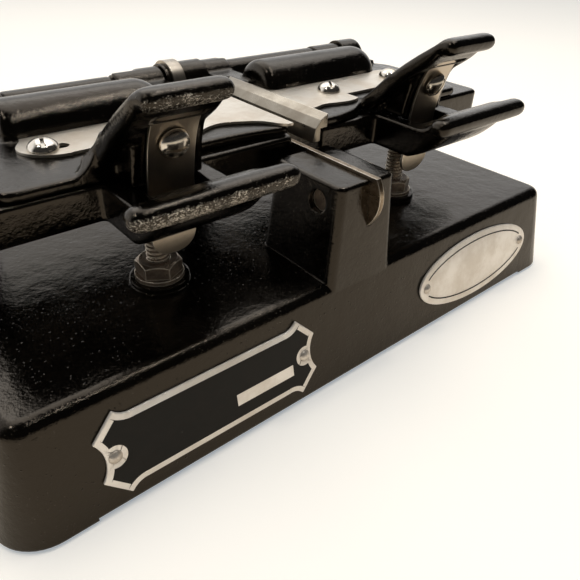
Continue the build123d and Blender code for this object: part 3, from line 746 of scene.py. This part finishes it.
def cutField(nodeName, pieceName, pinNode, border):
    # the plate's front outline, shrunk by the border
    field = copyOfNode(nodeName, pieceName)
    middle = badgeMiddle(nodeName, field)
    level = middle.dot(frontNormal)
    selectFaces(field, lambda face: face.normal.dot(frontNormal) < 0.99
                or face.center.dot(frontNormal) < level - 0.0001)
    bpy.ops.mesh.delete(type="FACE")
    endEdit()
    for pin in pinPlaces(pinNode, middle):
        selectPoints(field, lambda co: (co - pin).length < badges["pinHole"] * 1.3)
        bpy.ops.mesh.edge_face_add()
        endEdit()
    startEdit(field)
    bpy.ops.mesh.select_all(action="SELECT")
    bpy.ops.mesh.dissolve_faces()
    bpy.ops.mesh.select_all(action="SELECT")
    bpy.ops.mesh.inset(thickness=border)
    bpy.ops.mesh.select_all(action="INVERT")
    bpy.ops.mesh.delete(type="FACE")
    endEdit()
    return field, middle


def alongFront(piece, middle):
    # turn a piece made lying on XY so that it stands on the sloping front
    piece.matrix_world = Matrix(((1, 0, 0, middle.x), (0, frontUp.y, frontNormal.y, middle.y),
                                 (0, frontUp.z, frontNormal.z, middle.z), (0, 0, 0, 1)))
    settle(piece)
    return piece


def thicken(piece, height):
    solid = piece.modifiers.new("coat", "SOLIDIFY")
    solid.thickness = height
    solid.offset = 1.0
    applyModifiers(piece)


def makeNameplate():
    field, middle = cutField("nameplate", "nameplateField", "nameplate_pins", badges["border"])
    thicken(field, badges["fieldHeight"])
    for pin in pinPlaces("nameplate_pins", middle):
        cutWith(field, alongFront(addCylinder("lobeTool", badges["lobe"], -0.001, 0.001), pin))
    useMaterial(field, badgeEnamel)
    width, height = badges["stripSize"]
    x, z = badges["stripCentre"]
    strip = addBlock("blankStrip", (x - width / 2, z - height / 2, 0),
                     (x + width / 2, z + height / 2, badges["fieldHeight"] * 1.4))
    alongFront(strip, middle)
    useMaterial(strip, badgeSilver)
    plate = copyOfNode("nameplate", "nameplateSilver")
    bevelEdges(plate, 0.00028)
    useMaterial(plate, badgeSilver)
    badge = joinPieces([plate, field, strip], "nameplateBadge")
    smoothByAngle(badge, 30.0)
    seat(badge, "nameplate")


def makeOvalBadge():
    line, middle = cutField("oval_badge", "ovalLine", "oval_badge_pins", badges["ruleInset"])
    selectFaces(line, lambda face: True)
    bpy.ops.mesh.inset(thickness=badges["rule"])
    bpy.ops.mesh.delete(type="FACE")
    endEdit()
    thicken(line, badges["fieldHeight"])
    for pin in pinPlaces("oval_badge_pins", middle):
        cutWith(line, alongFront(addCylinder("lobeTool", badges["lobe"], -0.001, 0.001), pin))
    useMaterial(line, badgeEnamel)
    plate = copyOfNode("oval_badge", "ovalSilver")
    bevelEdges(plate, 0.0002)
    useMaterial(plate, badgeSilver)
    badge = joinPieces([plate, line], "ovalBadge")
    smoothByAngle(badge, 30.0)
    seat(badge, "oval_badge")


makeNameplate()
makeOvalBadge()
print("badges made")


# frame nodes that keep their own shape

nodeFinish = {
    "base_casting": blackEnamel,
    "hinge_rod": rodSteel,
    "centre_ring": ringNickel,
    "centre_blade": bladeSteel,
    "blade_screw": oiledSteel,
    "lock_nuts": oiledSteel,
    "lock_washers": oiledSteel,
    "nameplate_pins": pinSteel,
    "oval_badge_pins": pinSteel,
}
for side in ("left", "right"):
    nodeFinish["film_plate_" + side] = nickel
    nodeFinish["film_pins_" + side] = pinSteel
    nodeFinish["cover_plate_" + side] = nickel
    nodeFinish["latch_spring_" + side] = springSteel
for name, material in nodeFinish.items():
    for slot in nodes[name].material_slots:
        slot.material = material


# floor, light and camera

studio = {
    "floorColour": (0.94, 0.85, 0.72),
    "liftColour": (0.70, 0.82, 0.94),
    "floorLift": 0.33,
    "skyColour": (1.0, 0.985, 0.965),
    "skyDiffuse": 0.52,
    "backGlow": 1.0,
    "frontGlow": 0.02,
}


lamps = {
    "keyBox": {"spot": (0.16, 0.23, 0.66), "aim": (0.0, 0.0, 0.04), "size": (0.90, 0.60),
               "power": 2.6, "colour": (1.0, 0.98, 0.95)},
    "edgeBox": {"spot": (0.14, -0.12, 0.64), "aim": (0.0, -0.04, 0.03), "size": (0.42, 0.008),
                "power": 0.55, "colour": (1.0, 0.97, 0.92)},      # the line of light along front edges
    "sparkBox": {"spot": (-0.32, 0.02, 0.62), "aim": (0.0, -0.02, 0.06), "size": (0.03, 0.03),
                 "power": 0.35, "colour": (1.0, 0.96, 0.90)},     # small glints on the grain
}
viewpoint = {
    "place": (-0.11054148, -0.13970520, 0.12102644),
    "turn": (55.76667699, -2.32690818, -40.37610161),
    "lens": 35.814,
    "sensor": 36.0,
    "near": 0.01,
}


def makeFloor():
    bpy.ops.object.select_all(action="DESELECT")
    bpy.ops.mesh.primitive_plane_add(size=6.0, location=(0, 0, 0))
    floor = bpy.context.object
    floor.name = "studioFloor"
    material, tree, shader = newMaterial("studioFloor")
    shader.inputs["Base Color"].default_value = (*studio["floorColour"], 1.0)
    shader.inputs["Roughness"].default_value = 0.9
    shader.inputs["Specular IOR Level"].default_value = 0.1
    path = tree.nodes.new("ShaderNodeLightPath")
    shader.inputs["Emission Color"].default_value = (*studio["liftColour"], 1.0)
    tree.links.new(calculate(tree, "MULTIPLY", path.outputs["Is Camera Ray"], studio["floorLift"]),
                   shader.inputs["Emission Strength"])
    floor.data.materials.append(material)


def makeWorld():
    world = bpy.data.worlds.new("studioWorld")
    bpy.context.scene.world = world
    world.use_nodes = True
    tree = world.node_tree
    tree.nodes.clear()
    place = tree.nodes.new("ShaderNodeTexCoord")
    split = tree.nodes.new("ShaderNodeSeparateXYZ")
    tree.links.new(place.outputs["Generated"], split.inputs["Vector"])
    backward = remap(tree, split.outputs["Y"], 0.05, 0.45, studio["frontGlow"], studio["backGlow"])
    upward = remap(tree, split.outputs["Z"], 0.60, 0.95, 1.0, 0.25)
    path = tree.nodes.new("ShaderNodeLightPath")
    output = tree.nodes.new("ShaderNodeOutputWorld")

    def background(strength, colour=studio["skyColour"]):
        node = tree.nodes.new("ShaderNodeBackground")
        node.inputs["Color"].default_value = (*colour, 1.0)
        plug(tree, strength, node.inputs["Strength"])
        return node.outputs["Background"]

    def choose(factor, first, second):
        node = tree.nodes.new("ShaderNodeMixShader")
        tree.links.new(factor, node.inputs["Fac"])
        tree.links.new(first, node.inputs[1])
        tree.links.new(second, node.inputs[2])
        return node.outputs["Shader"]

    mirrored = background(calculate(tree, "MULTIPLY", backward, upward))
    lit = choose(path.outputs["Is Glossy Ray"], background(studio["skyDiffuse"]), mirrored)
    seen = choose(path.outputs["Is Camera Ray"], lit, background(1.0, (1.0, 1.0, 1.0)))
    tree.links.new(seen, output.inputs["Surface"])


def addSoftbox(name, spot, aim, size, power, colour):
    data = bpy.data.lights.new(name, "AREA")
    data.shape = "RECTANGLE"
    data.size, data.size_y = size
    data.energy = power
    data.color = colour
    lamp = bpy.data.objects.new(name, data)
    bpy.context.scene.collection.objects.link(lamp)
    lamp.location = spot
    lamp.rotation_euler = (Vector(aim) - Vector(spot)).to_track_quat("-Z", "Y").to_euler()


def makeCamera():
    data = bpy.data.cameras.new("viewCamera")
    data.sensor_width = viewpoint["sensor"]
    data.lens = viewpoint["lens"]
    data.clip_start = viewpoint["near"]
    camera = bpy.data.objects.new("viewCamera", data)
    bpy.context.scene.collection.objects.link(camera)
    camera.location = viewpoint["place"]
    camera.rotation_euler = [math.radians(angle) for angle in viewpoint["turn"]]
    bpy.context.scene.camera = camera


makeFloor()
makeWorld()
for name, lamp in lamps.items():
    addSoftbox(name, **lamp)
makeCamera()
bpy.context.scene.view_settings.view_transform = "Standard"
print("studio made")
